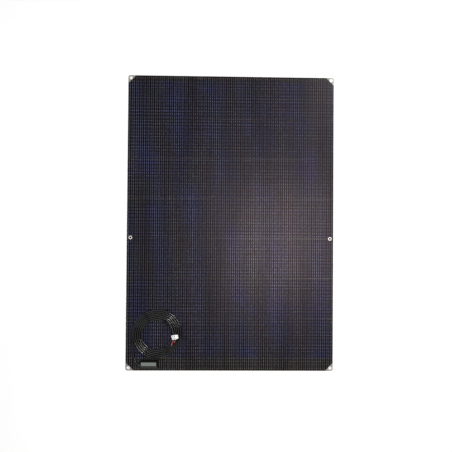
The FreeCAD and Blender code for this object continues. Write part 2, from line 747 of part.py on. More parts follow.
def make_box_inside():
    """The carrier, the two terminal bars, the bypass diode and the cable's cores."""
    carrier_x = (cavity_x[0] + 8.0, cavity_x[1] - 0.5)
    carrier_y = (cavity_y[0] + 4.0, cavity_y[1])
    carrier_z = (z_box + S["box_floor"], z_bars)
    blank = box("carrier_blank", carrier_x, carrier_y, carrier_z)
    bar_end = tail_y - S["tail_thick"] / 2
    diode_y = bar_end - 3.2
    bed = box(
        "diode_bed",
        around(S["box_mid_x"], S["diode_length"] + 0.4),
        around(diode_y, S["diode_radius"] * 2 + 0.2),
        (z_bars - 1.4, z_bars),
    )
    hollows = [bed, *tail_slots("carrier", carrier_z)]
    node(cut("terminal_carrier", blank, hollows), "terminal_carrier")
    for side, word in ((-1, "positive"), (1, "negative")):
        name = f"terminal_bar_{word}"
        bar_y = (bar_end - S["bar_length"], bar_end)
        bar_z = (z_bars, z_bars + S["bar_thick"])
        blank = box(f"{name}_blank", around(tail_x(side), S["bar_width"]), bar_y, bar_z)
        node(soften(name, blank, 0.6, upright), name)

    z = number(z_bars + S["bar_thick"] + S["lead_radius"])
    y = number(diode_y)
    middle = number(S["box_mid_x"])
    half = number(S["diode_length"]) / 2
    reach = number(S["bar_gap"]) - 1.5
    can = lying("bypass_diode", (middle - half, y, z), (middle + half, y, z), S["diode_radius"])
    node(can, "bypass_diode")
    leads = [
        lying(
            f"diode_lead_{word}",
            (middle + side * half, y, z),
            (middle + side * reach, y, z),
            S["lead_radius"],
        )
        for side, word in ((-1, "cathode"), (1, "anode"))
    ]
    node(group("diode_leads", leads), "diode_leads")

    sheath_end = Vector(*along_exit(-2.5))
    landing_y = number(bar_end) - number(S["bar_length"]) + 1.6
    landing_z = number(z_bars + S["bar_thick"] + S["core_radius"]) + 0.02
    over = Vector(0, 0, number(S["core_radius"]) + 0.1)
    onward = exit_way * -3.0
    routes = {
        "box_core_positive": (
            sheath_end + over,
            sheath_end + over + onward,
            Vector(-271.3, -453.4, 9.5),
            Vector(number(tail_x(-1)) + 2.0, landing_y + 0.3, landing_z),
        ),
        "box_core_negative": (
            sheath_end - over,
            sheath_end - over + onward,
            Vector(-266.0, -455.8, 7.5),
            Vector(-252.5, -455.3, 8.6),
            Vector(number(tail_x(1)) - 4.6, landing_y - 2.2, landing_z),
            Vector(number(tail_x(1)) + 1.8, landing_y + 0.2, landing_z),
        ),
    }
    for name, route in routes.items():
        node(tube(name, [tuple(p) for p in route], S["core_radius"]), name)

    sleeve = lying("boot_sleeve", along_exit(-3.0), along_exit(0.8), S["boot_wide"])
    taper = lying(
        "boot_taper",
        along_exit(0.8),
        along_exit(0.8 + number(S["boot_long"])),
        S["boot_wide"],
        S["boot_narrow"],
    )
    bore = lying("boot_bore", along_exit(-6.0), along_exit(12.0), S["cable_radius"])
    node(cut("strain_relief_boot", fuse("boot_body", [sleeve, taper]), [bore]), "strain_relief_boot")


# ---------------------------------------------------------------- cable

block_turn = Rotation(Vector(0, 0, 1), number(S["block_turn"]))
block_place = Vector(number(S["block_mid_x"]), number(S["block_mid_y"]), number(S["block_low"]))


def on_block(u, v, w):
    """A point of the block's own frame: u along its poles, v along its wires, w up from its underside."""
    return tuple(block_place + block_turn.multVec(Vector(u, v, w)))


# The cable lies on the front sheet, rises onto the ties' height at the coil, and its free end climbs
# over the wound strands to the terminal block.
LEAD_ROUTE = (
    along_exit(-2.5),
    along_exit(14.0),
    (-302.3, -434.6, 7.4),
    (-305.4, -417.0, 6.9),
    (-306.9, -394.8, 7.1),
    (-308.9, -371.0, 7.4),
)
TAIL_ROUTE = (
    (-224.1, -307.6, 7.4),
    (-210.5, -311.5, 8.6),
    (-197.5, -318.2, 12.0),
    (-186.6, -327.8, 13.7),
    on_block(-3.2, 26.4, 3.1),
    on_block(-3.2, 17.0, 3.1),
)
CABLE_END = 17.0  # how far from the block's middle the sheath ends, along its wires
TIE_ANGLES = (100.0, -83.0)  # seen from the coil's middle, from +X


def make_cable():
    node(tube("cable_lead", LEAD_ROUTE, S["cable_radius"]), "cable_lead")
    x, y, z = S["coil_mid_x"], S["coil_mid_y"], (z_coil, z_coil_top)
    disc = cylinder("coil_disc", x, y, z, S["coil_outer"])
    hole = cylinder("coil_hole", x, y, z, S["coil_inner"])
    ring = cut("coil_ring", disc, [hole])
    round_off = number(S["cable_radius"]) * 0.9
    coil = soften("cable_coil", ring, round_off, lambda edge: isinstance(edge.Curve, Part.Circle))
    node(coil, "cable_coil")
    node(tube("cable_tail", TAIL_ROUTE, S["cable_radius"]), "cable_tail")


def make_ties():
    ties = []
    play = 0.05
    for angle in TIE_ANGLES:
        name = f"tie_{len(ties) + 1}"
        thick = S["tie_thick"]
        x = (S["coil_inner"] - play, S["coil_outer"] + play)
        z = (z_coil, z_coil_top)
        width = around(ZERO, S["tie_width"])
        band = box(f"{name}_band", (x[0] - thick, x[1] + thick), width, (z[0] - thick, z[1] + thick))
        window = box(f"{name}_window", x, width, z)
        loop = cut(f"{name}_loop", band, [window])
        head_z = (z[1] + thick / 2, z[1] + thick + S["tie_head_tall"])
        head_x = around(S["tie_head_at"], S["tie_head"])
        head = box(f"{name}_head", head_x, around(ZERO, S["tie_head"]), head_z)
        tie = fuse(name, [loop, head])
        place(tie, S["coil_mid_x"], S["coil_mid_y"], ZERO)
        tie.Placement = Placement(tie.Placement.Base, Rotation(Vector(0, 0, 1), angle))
        ties.append(tie)
    node(group("cable_ties", ties), "cable_ties")


# ---------------------------------------------------------------- terminal block

def set_on_block(thing):
    """Moves an object built in the block's own frame to where the block lies."""
    place(thing, S["block_mid_x"], S["block_mid_y"], S["block_low"])
    thing.Placement = Placement(thing.Placement.Base, block_turn)
    bind(thing, "Placement.Rotation.Angle", S["block_turn"])
    return thing


block_span = S["block_long"] + S["ear_long"]
block_u = (-(block_span / 2), S["block_long"] - block_span / 2)
POLES = tuple((block_u[0] + block_u[1]) / 2 + S["pole_pitch"] * side for side in (-0.5, 0.5))
SCREWS = tuple((pole, S["screw_spacing"] * side) for pole in POLES for side in (0.5, -0.5))
insert_z = (S["insert_low"], S["insert_low"] + S["insert_tall"])
tunnel_z = (insert_z[0] + S["insert_wall"], insert_z[1] - S["insert_roof"])
clamp_low = tunnel_z[0] + S["copper_radius"] * 2 + 0.02
clamp_top = clamp_low + S["clamp_thick"]
chimney_top = S["block_tall"] + S["chimney_tall"]


def make_block_housing():
    body = box("block_body", block_u, around(ZERO, S["block_wide"]), (ZERO, S["block_tall"]))
    ear_u = (block_u[1], block_u[1] + S["ear_long"])
    ear = box("block_ear", ear_u, around(ZERO, S["ear_wide"]), (ZERO, S["ear_thick"]))
    chimneys = [
        cylinder(f"chimney_{i}", u, v, (S["block_tall"], chimney_top), S["chimney_radius"])
        for i, (u, v) in enumerate(SCREWS, start=1)
    ]
    solid = fuse("block_solid", [body, ear, *chimneys])
    ear_middle = (ear_u[0] + ear_u[1]) / 2
    hollows = [cylinder("ear_hole", ear_middle, ZERO, (ZERO, S["ear_thick"]), S["ear_hole"])]
    for i, pole in enumerate(POLES, start=1):
        wide = around(pole, S["insert_wide"])
        seat = box(f"insert_seat_{i}", wide, around(ZERO, S["insert_long"]), insert_z)
        mouth_z = (tunnel_z[0] - 0.2, tunnel_z[1])
        mouth = box(f"wire_mouth_{i}", around(pole, 3.6), around(ZERO, S["block_wide"]), mouth_z)
        shaft_radius = S["head_radius"] + S["head_play"]
        shafts = [
            cylinder(f"screw_shaft_{i}_{j}", u, v, (insert_z[1], chimney_top), shaft_radius)
            for j, (u, v) in enumerate(SCREWS[2 * i - 2 : 2 * i], start=1)
        ]
        hollows.append(fuse(f"pole_hollow_{i}", [seat, mouth, *shafts]))
    housing = cut("terminal_block_housing", solid, hollows)
    node(set_on_block(housing), "terminal_block_housing")


def make_block_inserts():
    inserts = []
    for i, pole in enumerate(POLES, start=1):
        wide, long = around(pole, S["insert_wide"]), around(ZERO, S["insert_long"])
        bar = box(f"insert_bar_{i}", wide, long, insert_z)
        tunnel = box(f"insert_tunnel_{i}", inset(wide, S["insert_wall"]), long, tunnel_z)
        thread_z, thread_radius = (tunnel_z[1], insert_z[1]), S["screw_radius"] + S["screw_play"]
        threads = [
            cylinder(f"insert_thread_{i}_{j}", u, v, thread_z, thread_radius)
            for j, (u, v) in enumerate(SCREWS[2 * i - 2 : 2 * i], start=1)
        ]
        inserts.append(cut(f"insert_{i}", bar, [fuse(f"insert_hollow_{i}", [tunnel, *threads])]))
    both = group("terminal_block_inserts", inserts)
    node(set_on_block(both), "terminal_block_inserts")


def make_clamps_and_screws():
    tunnel_wide = S["insert_wide"] - S["insert_wall"] * 2
    for i, (u, v) in enumerate(SCREWS, start=1):
        wide = around(u, tunnel_wide - S["clamp_play"] * 2)
        leaf = box(f"clamp_leaf_{i}", wide, around(v, S["clamp_long"]), (clamp_low, clamp_top))
        node(set_on_block(group(f"wire_clamp_{i}", [leaf])), f"wire_clamp_{i}")
        head_low = insert_z[1] + 0.4
        head_top = head_low + S["head_thick"]
        shank = cylinder(f"shank_{i}", u, v, (clamp_top + 0.02, head_low), S["screw_radius"])
        head = cylinder(f"head_{i}", u, v, (head_low, head_top), S["head_radius"])
        slot_z = (head_top - S["head_thick"] * 0.5, head_top)
        slot = box(f"slot_{i}", around(u, S["head_radius"] * 2), around(v, S["slot_wide"]), slot_z)
        screw = cut(f"clamp_screw_{i}", fuse(f"screw_body_{i}", [shank, head]), [slot])
        node(set_on_block(screw), f"clamp_screw_{i}")


def make_core_sleeve():
    """The shrunk sleeve that covers the cores between the cable's end and the block."""
    middle = (block_u[0] + block_u[1]) / 2
    near, far = (S["block_wide"] / 2 + S[size] for size in ("sleeve_gap", "sleeve_reach"))
    axis = S["sleeve_axis"]
    over_cores = {"X": around(middle, S["sleeve_wide"]), "Z": around(axis, S["sleeve_flat"])}
    over_cable = {"X2": around(middle, S["sleeve_round"]), "Z2": around(axis, S["sleeve_round"])}

    def tapered(name, wall):
        wedge = doc.addObject("Part::Wedge", name)
        sides = {"Ymin": near, "Ymax": far}
        for letter, span in {**over_cores, **over_cable}.items():
            sides[f"{letter}min"], sides[f"{letter}max"] = inset(span, wall)
        for side, size in sides.items():
            setattr(wedge, side, number(size))
            bind(wedge, side, size)
        return wedge

    outside = soften(
        "sleeve_outside",
        tapered("sleeve_blank", 0.0),
        1.5,
        lambda edge: abs(edge.Vertexes[0].Y - edge.Vertexes[-1].Y) > 1.0,
    )
    line = [(number(middle), v, number(axis)) for v in (CABLE_END, number(far) + 1.0)]
    bore = lying("sleeve_bore", *line, S["cable_radius"] + 0.02)
    reach_v = (near, ZERO + CABLE_END)
    reach = box("sleeve_room_reach", around(middle, S["sleeve_wide"]), reach_v, around(axis, 9.0))
    chamber = common("sleeve_chamber", tapered("sleeve_room", 0.55), reach)
    node(set_on_block(cut("core_sleeve", outside, [bore, chamber])), "core_sleeve")


def make_block_wires():
    """The cores that come into the block's upper side, and the two short pigtails that leave below."""
    level = number(tunnel_z[0] + S["copper_radius"])
    half = number(S["block_wide"]) / 2
    bare = number(S["insert_long"]) / 2
    sheath_end = Vector(*TAIL_ROUTE[-1])
    left, right = (number(pole) for pole in POLES)
    split = number(S["core_radius"]) + 0.05
    lift = number(S["core_radius"]) - number(S["copper_radius"]) + 0.02
    shoulders = {"red_core": (left, -split), "black_core": (right, split)}
    for name, (pole, aside) in shoulders.items():
        start = sheath_end + block_turn.multVec(Vector(aside, 0, 0))
        shoulder = start + block_turn.multVec(Vector(0, -3.2, 0))
        knee = on_block(pole, half + 2.6, level + lift)
        mouth = on_block(pole, bare, level + lift)
        node(tube(name, (tuple(start), tuple(shoulder), knee, mouth), S["core_radius"]), name)
    tips = {
        "red_pigtail": (left, (-0.9, -2.0, 0.0), (-4.4, -7.6, -0.3), (-7.6, -12.8, -0.7)),
        "black_pigtail": (right, (-0.5, -2.0, 0.0), (-2.0, -4.4, -0.2)),
    }
    ferrules = []
    for name, (pole, *bends) in tips.items():
        route = [on_block(pole, -bare - 0.3, level + lift)]
        route += [on_block(pole + du, dv - half, level + lift + dw) for du, dv, dw in bends]
        node(tube(name, route, S["core_radius"]), name)
        tip, before = Vector(*route[-1]), Vector(*route[-2])
        end = tip + (tip - before).normalize() * number(S["ferrule_long"])
        ferrules.append(lying(f"{name}_ferrule", tuple(tip), tuple(end), S["copper_radius"]))
    node(group("pigtail_ferrules", ferrules), "pigtail_ferrules")
    conductors = []
    for pole in (left, right):
        for side in (1, -1):
            ends = (on_block(pole, side * 0.4, level), on_block(pole, side * bare, level))
            conductors.append(lying(f"conductor_{len(conductors) + 1}", *ends, S["copper_radius"]))
    node(group("core_conductors", conductors), "core_conductors")


# ---------------------------------------------------------------- making, checking and writing


def check():
    """Every object computed, and every sub-part a valid shape of closed solids."""
    for thing in doc.Objects:
        if {"Invalid", "Error"} & set(thing.State):
            raise RuntimeError(f"{thing.Name} failed: {thing.State}")
    for thing in NODES:
        shape = thing.Shape
        if shape.isNull() or not shape.isValid() or not shape.Solids:
            raise RuntimeError(f"{thing.Label} isn't a valid solid")


make_backing_sheet()
make_films()
make_laminate()
make_eyelets()
make_box()
make_box_inside()
make_cable()
make_ties()
make_block_housing()
make_block_inserts()
make_clamps_and_screws()
make_core_sleeve()
make_block_wires()
doc.recompute()
check()

os.makedirs("parts", exist_ok=True)
for thing in NODES:
    thing.Shape.exportStep(os.path.join("parts", f"{thing.Label}.step"))
    bounds = thing.Shape.BoundBox
    print(f"{thing.Label}: {len(thing.Shape.Solids)} solids, {thing.Shape.Volume:.1f} mm3, "
          f"z {bounds.ZMin:.2f} to {bounds.ZMax:.2f}")
print(len(NODES), "nodes")
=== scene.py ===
import json
import math
import random

import bmesh
import bpy
import numpy as np
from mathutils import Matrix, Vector


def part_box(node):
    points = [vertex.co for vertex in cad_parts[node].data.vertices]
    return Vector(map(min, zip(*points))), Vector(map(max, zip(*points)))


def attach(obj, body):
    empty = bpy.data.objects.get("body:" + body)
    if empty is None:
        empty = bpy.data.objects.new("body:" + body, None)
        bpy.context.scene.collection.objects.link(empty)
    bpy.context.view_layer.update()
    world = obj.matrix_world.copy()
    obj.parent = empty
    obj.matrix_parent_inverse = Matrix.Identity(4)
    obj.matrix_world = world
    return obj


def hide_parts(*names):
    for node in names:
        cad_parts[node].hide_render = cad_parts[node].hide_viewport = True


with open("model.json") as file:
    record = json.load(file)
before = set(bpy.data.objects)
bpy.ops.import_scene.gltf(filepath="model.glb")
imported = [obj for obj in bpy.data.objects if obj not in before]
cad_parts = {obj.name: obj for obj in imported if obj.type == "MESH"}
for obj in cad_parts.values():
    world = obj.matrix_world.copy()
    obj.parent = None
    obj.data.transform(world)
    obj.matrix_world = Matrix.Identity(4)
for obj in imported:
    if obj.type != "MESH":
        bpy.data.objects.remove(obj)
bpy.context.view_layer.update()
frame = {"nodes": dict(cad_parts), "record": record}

scene = bpy.context.scene
nodes = frame["nodes"]
MM = 0.001
PANEL = "panel"                   # the body that holds everything fixed


def mm(*values):
    """A point given in millimetres, in metres."""
    return Vector(values) * MM


def link(obj):
    scene.collection.objects.link(obj)
    return obj


# ---------------------------------------------------------------- camera

camera = link(bpy.data.objects.new("camera", bpy.data.cameras.new("camera")))
camera.location = (-0.0695, -0.0522, 2.0085)
camera.rotation_euler = [math.radians(angle) for angle in (1.192, -1.576, 0.432)]
camera.data.lens = 50
camera.data.sensor_width = 36
scene.camera = camera
scene.view_settings.view_transform = "Standard"


# ---------------------------------------------------------------- cable, in millimetres

CABLE = 6.0                       # diameter of the sheath
EXIT, EXIT_TURN = (-282.0, -453.2, 8.6), math.radians(160)      # where it leaves the junction box
BLOCK, BLOCK_TURN = (-173.7, -362.8, 10.7), math.radians(12)    # middle of the terminal block
COIL_MIDDLE = (-231.6, -354.8)
COIL_START, COIL_TURNS = math.radians(180), 5.275
COIL_RADIUS, COIL_PITCH = 79.2, 5.96                            # of the first turn, and less for each turn
COIL_OVAL, COIL_OVAL_TURN = 0.02, math.radians(45)
COIL_WANDER = 0.25                # how far a turn strays from the spiral
COIL_HEIGHT = 7.4
POINTS_A_TURN = 20


def along_exit(distance):
    """A point on the cable's axis where it leaves the junction box."""
    return (EXIT[0] + distance * math.cos(EXIT_TURN), EXIT[1] + distance * math.sin(EXIT_TURN), EXIT[2])


def on_block(u, v, w):
    """A point given in the terminal block's own directions."""
    c, s = math.cos(BLOCK_TURN), math.sin(BLOCK_TURN)
    return (BLOCK[0] + c * u - s * v, BLOCK[1] + s * u + c * v, BLOCK[2] + w)


LEAD_ROUTE = [
    along_exit(-2.5), along_exit(14.0), (-302.3, -434.6, 7.4), (-305.4, -417.0, 6.9),
    (-306.9, -394.8, 7.1), (-308.9, -371.0, 7.4),
]
TAIL_ROUTE = [
    (-224.1, -307.6, 7.4), (-210.5, -311.5, 8.6), (-197.5, -318.2, 12.0), (-186.6, -327.8, 13.7),
    on_block(-3.2, 26.4, 3.1), on_block(-3.2, 17.0, 3.1),
]


def coil_points():
    """The wound part of the cable: a flat spiral that runs clockwise and inward."""
    wander = random.Random(4)
    points = []
    for i in range(1, round(COIL_TURNS * POINTS_A_TURN)):
        turns = i / POINTS_A_TURN
        angle = COIL_START - turns * 2 * math.pi
        oval = 1 + COIL_OVAL * math.cos(2 * (angle - COIL_OVAL_TURN))
        radius = (COIL_RADIUS - COIL_PITCH * turns) * oval + wander.uniform(-COIL_WANDER, COIL_WANDER)
        x, y = COIL_MIDDLE
        points.append((x + radius * math.cos(angle), y + radius * math.sin(angle), COIL_HEIGHT))
    return points


def nurbs(name, points, radius):
    """A round cord along a smooth curve, whose control points and radius are given in millimetres.

    The radius is put on the points, so that the curve's own box is the cord's box.
    """
    curve = bpy.data.curves.new(name, "CURVE")
    curve.dimensions = "3D"
    curve.bevel_depth = 1.0
    curve.bevel_resolution = 5
    curve.resolution_u = 6
    curve.use_fill_caps = True
    spline = curve.splines.new("NURBS")
    spline.points.add(len(points) - 1)
    for point, place in zip(spline.points, points):
        point.co = (*mm(*place), 1)
        point.radius = radius * MM
    spline.order_u = 3
    spline.use_endpoint_u = True
    return link(bpy.data.objects.new(name, curve))


cable = nurbs("cable_sheath", LEAD_ROUTE + coil_points() + TAIL_ROUTE, CABLE / 2)
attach(cable, PANEL)
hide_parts("cable_lead", "cable_coil", "cable_tail")


# ---------------------------------------------------------------- materials

class Graph:
    """A material's nodes, with one short call for each kind."""

    def __init__(self, name, **fixed):
        self.material = bpy.data.materials.new(name)
        self.material.use_nodes = True
        self.tree = self.material.node_tree
        self.shader = self.tree.nodes["Principled BSDF"]
        self.place = self.tree.nodes.new("ShaderNodeTexCoord").outputs["Object"]
        for socket, value in fixed.items():
            self.shader.inputs[socket.replace("_", " ").title().replace("Ior", "IOR")].default_value = value

    def feed(self, socket, value):
        if isinstance(value, bpy.types.NodeSocket):
            self.tree.links.new(value, socket)
        else:
            socket.default_value = value

    def math(self, operation, *values):
        made = self.tree.nodes.new("ShaderNodeMath")
        made.operation = operation
        for socket, value in zip(made.inputs, values):
            self.feed(socket, value)
        return made.outputs[0]

    def times(self, first, *others):
        for other in others:
            first = self.math("MULTIPLY", first, other)
        return first

    def noise(self, scale, detail, stretch=(1, 1, 1)):
        moved = self.tree.nodes.new("ShaderNodeMapping")
        moved.inputs["Scale"].default_value = stretch
        self.tree.links.new(self.place, moved.inputs["Vector"])
        made = self.tree.nodes.new("ShaderNodeTexNoise")
        self.tree.links.new(moved.outputs[0], made.inputs["Vector"])
        made.inputs["Scale"].default_value = scale
        made.inputs["Detail"].default_value = detail
        return made.outputs[0]

    def spread(self, value, low, high, start=0.3, end=0.7):
        """value from start to end becomes a number from low to high, and stays at those beyond them."""
        made = self.tree.nodes.new("ShaderNodeMapRange")
        given = {"Value": value, "From Min": start, "From Max": end, "To Min": low, "To Max": high}
        for socket, number in given.items():
            self.feed(made.inputs[socket], number)
        return made.outputs[0]

    def mix(self, share, first, second):
        made = self.tree.nodes.new("ShaderNodeMix")
        made.data_type = "RGBA"
        colours = [socket for socket in made.inputs if socket.type == "RGBA"]
        self.feed(made.inputs["Factor"], share)
        for socket, value in zip(colours, (first, second)):
            self.feed(socket, value if isinstance(value, bpy.types.NodeSocket) else (*value, 1))
        return next(socket for socket in made.outputs if socket.type == "RGBA")

    def base(self, colour):
        self.feed(self.shader.inputs["Base Color"], colour)

    def rough(self, value):
        self.feed(self.shader.inputs["Roughness"], value)

    def bump(self, height, depth):
        made = self.tree.nodes.new("ShaderNodeBump")
        made.inputs["Distance"].default_value = depth
        self.tree.links.new(height, made.inputs["Height"])
        self.tree.links.new(made.outputs[0], self.shader.inputs["Normal"])


def grey(level):
    return (level, level, level)


def mottled(name, dark, light, rough, scale, grain, depth, stretch=(1, 1, 1), **fixed):
    """A surface whose colour varies in soft patches, and its roughness in a fine grain depth metres deep.

    A higher scale or grain makes them smaller. fixed holds the shader's own sockets.
    """
    made = Graph(name, **fixed)
    patches = made.noise(scale, 4.0, stretch)
    made.base(made.mix(made.spread(patches, 0.0, 1.0), dark, light))
    fine = made.noise(grain, 2.0, stretch)
    made.rough(made.spread(fine, *rough))
    made.bump(fine, depth)
    return made.material


def sheath_skin():
    """Glossy black sheath, with a painted highlight: its base colour is lighter in patches where it faces
    up.
    """
    made = Graph("cable_black_sheath", specular_ior_level=0.34)
    facing = made.tree.nodes.new("ShaderNodeSeparateXYZ")
    made.tree.links.new(made.tree.nodes.new("ShaderNodeNewGeometry").outputs["Normal"], facing.inputs[0])
    # painted highlight: the top of each turn, where the surface faces up, is given a lighter base colour
    crest = made.spread(facing.outputs["Z"], 0.0, 1.0, 0.86, 0.98)
    crest_highlight = made.times(crest, made.spread(made.noise(60.0, 3.0), 0.55, 1.0))
    made.base(made.mix(crest_highlight, grey(0.0008), grey(0.021)))
    grain = made.noise(400.0, 2.0)
    made.rough(made.spread(grain, 0.13, 0.18))
    made.bump(grain, 2e-6)
    return made.material


MATERIALS = {
    "plate": mottled(
        "plate_aluminium", dark=(0.19, 0.19, 0.18), light=(0.27, 0.27, 0.255), rough=(0.42, 0.58),
        scale=60, grain=900, depth=2e-5, stretch=(1, 0.06, 1), metallic=0.35),
    "film": mottled(
        "film_clear_resin", dark=(0.50, 0.52, 0.50), light=(0.62, 0.63, 0.60), rough=(0.30, 0.45),
        scale=40, grain=500, depth=1e-5),
    "insulation": mottled(
        "film_white_polyester", dark=(0.70, 0.70, 0.68), light=(0.80, 0.80, 0.78), rough=(0.40, 0.5),
        scale=40, grain=500, depth=1e-5),
    "encapsulant": mottled(
        "laminate_resin", dark=(0.030, 0.031, 0.036), light=(0.046, 0.046, 0.052), rough=(0.25, 0.4),
        scale=60, grain=400, depth=1e-5),
    "silicon": mottled(
        "cell_silicon", dark=(0.010, 0.012, 0.022), light=(0.018, 0.020, 0.034), rough=(0.20, 0.30),
        scale=30, grain=700, depth=5e-6),
    "tinned_copper": mottled(
        "ribbon_tin", dark=(0.55, 0.55, 0.54), light=(0.72, 0.72, 0.70), rough=(0.25, 0.4),
        scale=90, grain=1200, depth=1e-5, metallic=1.0),
    "eyelet_metal": mottled(
        "eyelet_nickel", dark=(0.66, 0.62, 0.56), light=(0.78, 0.74, 0.68), rough=(0.30, 0.42),
        scale=300, grain=2500, depth=1e-5, metallic=0.10),
    "box_plastic": mottled(
        "box_black_plastic", dark=grey(0.003), light=grey(0.006), rough=(0.40, 0.54),
        scale=120, grain=2600, depth=2e-5, specular_ior_level=0.15),
    "seal_rubber": mottled(
        "seal_black_rubber", dark=grey(0.012), light=grey(0.022), rough=(0.6, 0.8),
        scale=150, grain=2000, depth=2e-5),
    "plate_label": mottled(
        "lid_grey_green_plate", dark=(0.118, 0.138, 0.122), light=(0.155, 0.178, 0.160), rough=(0.38, 0.5),
        scale=160, grain=1800, depth=1e-5, stretch=(0.1, 1, 1)),
    "diode_body": mottled(
        "diode_black_epoxy", dark=grey(0.02), light=grey(0.035), rough=(0.4, 0.5),
        scale=300, grain=3000, depth=1e-5),
    "sheath": sheath_skin(),
    "red_insulation": mottled(
        "core_red", dark=(0.50, 0.010, 0.016), light=(0.66, 0.022, 0.028), rough=(0.28, 0.4),
        scale=200, grain=1800, depth=2e-5),
    "black_insulation": mottled(
        "core_black", dark=(0.010, 0.011, 0.011), light=(0.022, 0.023, 0.023), rough=(0.26, 0.38),
        scale=200, grain=1800, depth=2e-5),
    "copper": mottled(
        "wire_copper", dark=(0.72, 0.32, 0.18), light=(0.86, 0.45, 0.28), rough=(0.25, 0.4),
        scale=400, grain=2500, depth=2e-5, metallic=1.0),
    "block_plastic": mottled(
        "block_white_nylon", dark=(0.84, 0.84, 0.83), light=(0.92, 0.92, 0.91), rough=(0.35, 0.5),
        scale=150, grain=1800, depth=2e-5),
    "brass": mottled(
        "insert_brass", dark=(0.66, 0.50, 0.24), light=(0.80, 0.64, 0.34), rough=(0.28, 0.4),
        scale=300, grain=2500, depth=1e-5, metallic=1.0),
    "screw_steel": mottled(
        "screw_zinc_steel", dark=grey(0.50), light=(0.70, 0.70, 0.69), rough=(0.25, 0.42),
        scale=400, grain=3000, depth=1e-5, metallic=1.0),
    "tie_plastic": mottled(
        "tie_black_nylon", dark=grey(0.006), light=grey(0.012), rough=(0.30, 0.42),
        scale=250, grain=2200, depth=2e-5, specular_ior_level=0.2),
}


# ---------------------------------------------------------------- front sheet

THREAD_X, THREAD_X_WIDE = 6.75 * MM, 12.04 * MM     # spacings of the lines that run along the sheet
THREAD_Y, THREAD_Y_FINE = 10.5 * MM, 8.3 * MM       # and of those that run across it
FINE_LIGHT, WIDE_LIGHT, ACROSS_LIGHT = 4.6, 0.85, 0.30          # how much each set of lines brightens it
ROWS = 7
CELL_GAP = 2 * MM
SEAM_FULL, SEAM_END = 0.4 * MM, 1.3 * MM            # how far a seam's painted highlight is full, and where it ends
SEAM_DIM, SEAM_BRIGHT = -0.33, 0.25                 # x where the seams' painted highlight is weakest, and strongest
WAFER = 82.5 * MM                                   # radius of the round wafer that a cell's corners follow
WAFER_EDGE = 0.5 * MM
CELL_GREY, CELL_BLUE = (0.0106, 0.0111, 0.0143), (0.0101, 0.0109, 0.0215)
# the last colour is the seams' painted highlight
BACKING, SEAM_HIGHLIGHT = (0.0128, 0.0126, 0.0124), (0.062, 0.061, 0.063)

sheet_low, sheet_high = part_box("front_sheet")
cells_low, cells_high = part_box("cell_string_1")
cell_pitch = (cells_high.y - cells_low.y + CELL_GAP) / ROWS
field_top = cells_high.y + CELL_GAP / 2
field_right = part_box("cell_string_5")[1].x + CELL_GAP / 2


def front_skin():
    """The front sheet's bright threads, over dark cells and the seams between them, which carry a painted
    highlight.
    """
    made = Graph("front_skin_lattice", specular_ior_level=0.12, specular_tint=(1.0, 0.82, 0.87, 1.0))
    apart = made.tree.nodes.new("ShaderNodeSeparateXYZ")
    made.tree.links.new(made.place, apart.inputs[0])
    x, y = apart.outputs["X"], apart.outputs["Y"]

    def wave(along, pitch, share):
        """1 on average, and share more on each line, with the lines a pitch apart."""
        swing = made.math("COSINE", made.times(along, 2 * math.pi / pitch))
        return made.math("MULTIPLY_ADD", swing, share, 1.0)

    def lines(pitch, sharpness):
        """1 on each line that runs along the sheet, and 0 between them."""
        return made.math("POWER", made.times(wave(x, pitch, 1.0), 0.5), sharpness)

    def from_seam(edge, along):
        """Distance from the nearest seam between cells, or from the edge of their field."""
        return made.math("PINGPONG", made.math("SUBTRACT", edge, along), cell_pitch / 2)

    # sharp fine threads run along the sheet, over softer wide ones; two waves across it break both up
    bands = made.spread(made.noise(20.0, 2.0, (1, 0.12, 1)), 0.55, 1.45)
    rows = made.spread(made.noise(20.0, 2.0, (0.12, 1, 1)), 0.22, 0.72)
    speckle = made.spread(made.noise(300.0, 1.0), 0.45, 1.7)
    threads = made.times(lines(THREAD_X, 6.0), made.times(bands, FINE_LIGHT))
    threads = made.math("MULTIPLY_ADD", lines(THREAD_X_WIDE, 4.0), WIDE_LIGHT, threads)
    threads = made.times(threads, wave(y, THREAD_Y, rows), wave(y, THREAD_Y_FINE, ACROSS_LIGHT), speckle)

    # the seams between cells show as lighter lines here and there, and more towards the right: a real gap
    # with a painted reflection on it, strongest where the light falls
    inside = made.times(
        made.spread(y, 0.0, 1.0, cells_low.y - CELL_GAP / 2, cells_low.y),
        made.spread(y, 1.0, 0.0, cells_high.y, cells_high.y + CELL_GAP / 2))
    above = from_seam(field_top, y)
    seam_highlight = made.times(
        made.spread(above, 1.0, 0.0, SEAM_FULL, SEAM_END), inside,
        made.spread(made.noise(5.0, 2.0), 0.05, 1.0, 0.40, 0.62),
        made.spread(x, 0.35, 1.0, SEAM_DIM, SEAM_BRIGHT))

    # a cell is its square inside the round wafer that it was cut from
    beside = from_seam(field_right, x)
    off_x = made.math("SUBTRACT", cell_pitch / 2, beside)
    off_y = made.math("SUBTRACT", cell_pitch / 2, above)
    off = made.math("SQRT", made.math("ADD", made.times(off_x, off_x), made.times(off_y, off_y)))
    wafer = made.times(made.spread(off, 1.0, 0.0, WAFER, WAFER + WAFER_EDGE), inside)

    patches = made.spread(made.noise(9.0, 2.0), 0.0, 1.0, 0.35, 0.65)
    tone = made.mix(wafer, BACKING, made.mix(patches, CELL_GREY, CELL_BLUE))
    lit = made.tree.nodes.new("ShaderNodeVectorMath")
    lit.operation = "SCALE"
    made.tree.links.new(tone, lit.inputs[0])
    made.tree.links.new(threads, lit.inputs["Scale"])
    made.base(made.mix(seam_highlight, lit.outputs[0], SEAM_HIGHLIGHT))
    grain = made.spread(made.noise(120.0, 3.0), -0.02, 0.02)
    made.rough(made.math("ADD", made.spread(threads, 0.36, 0.22, 0.3, 2.2), grain))
    made.bump(made.noise(420.0, 2.0), 1e-5)
    return made.material


MATERIALS["front_skin"] = front_skin()

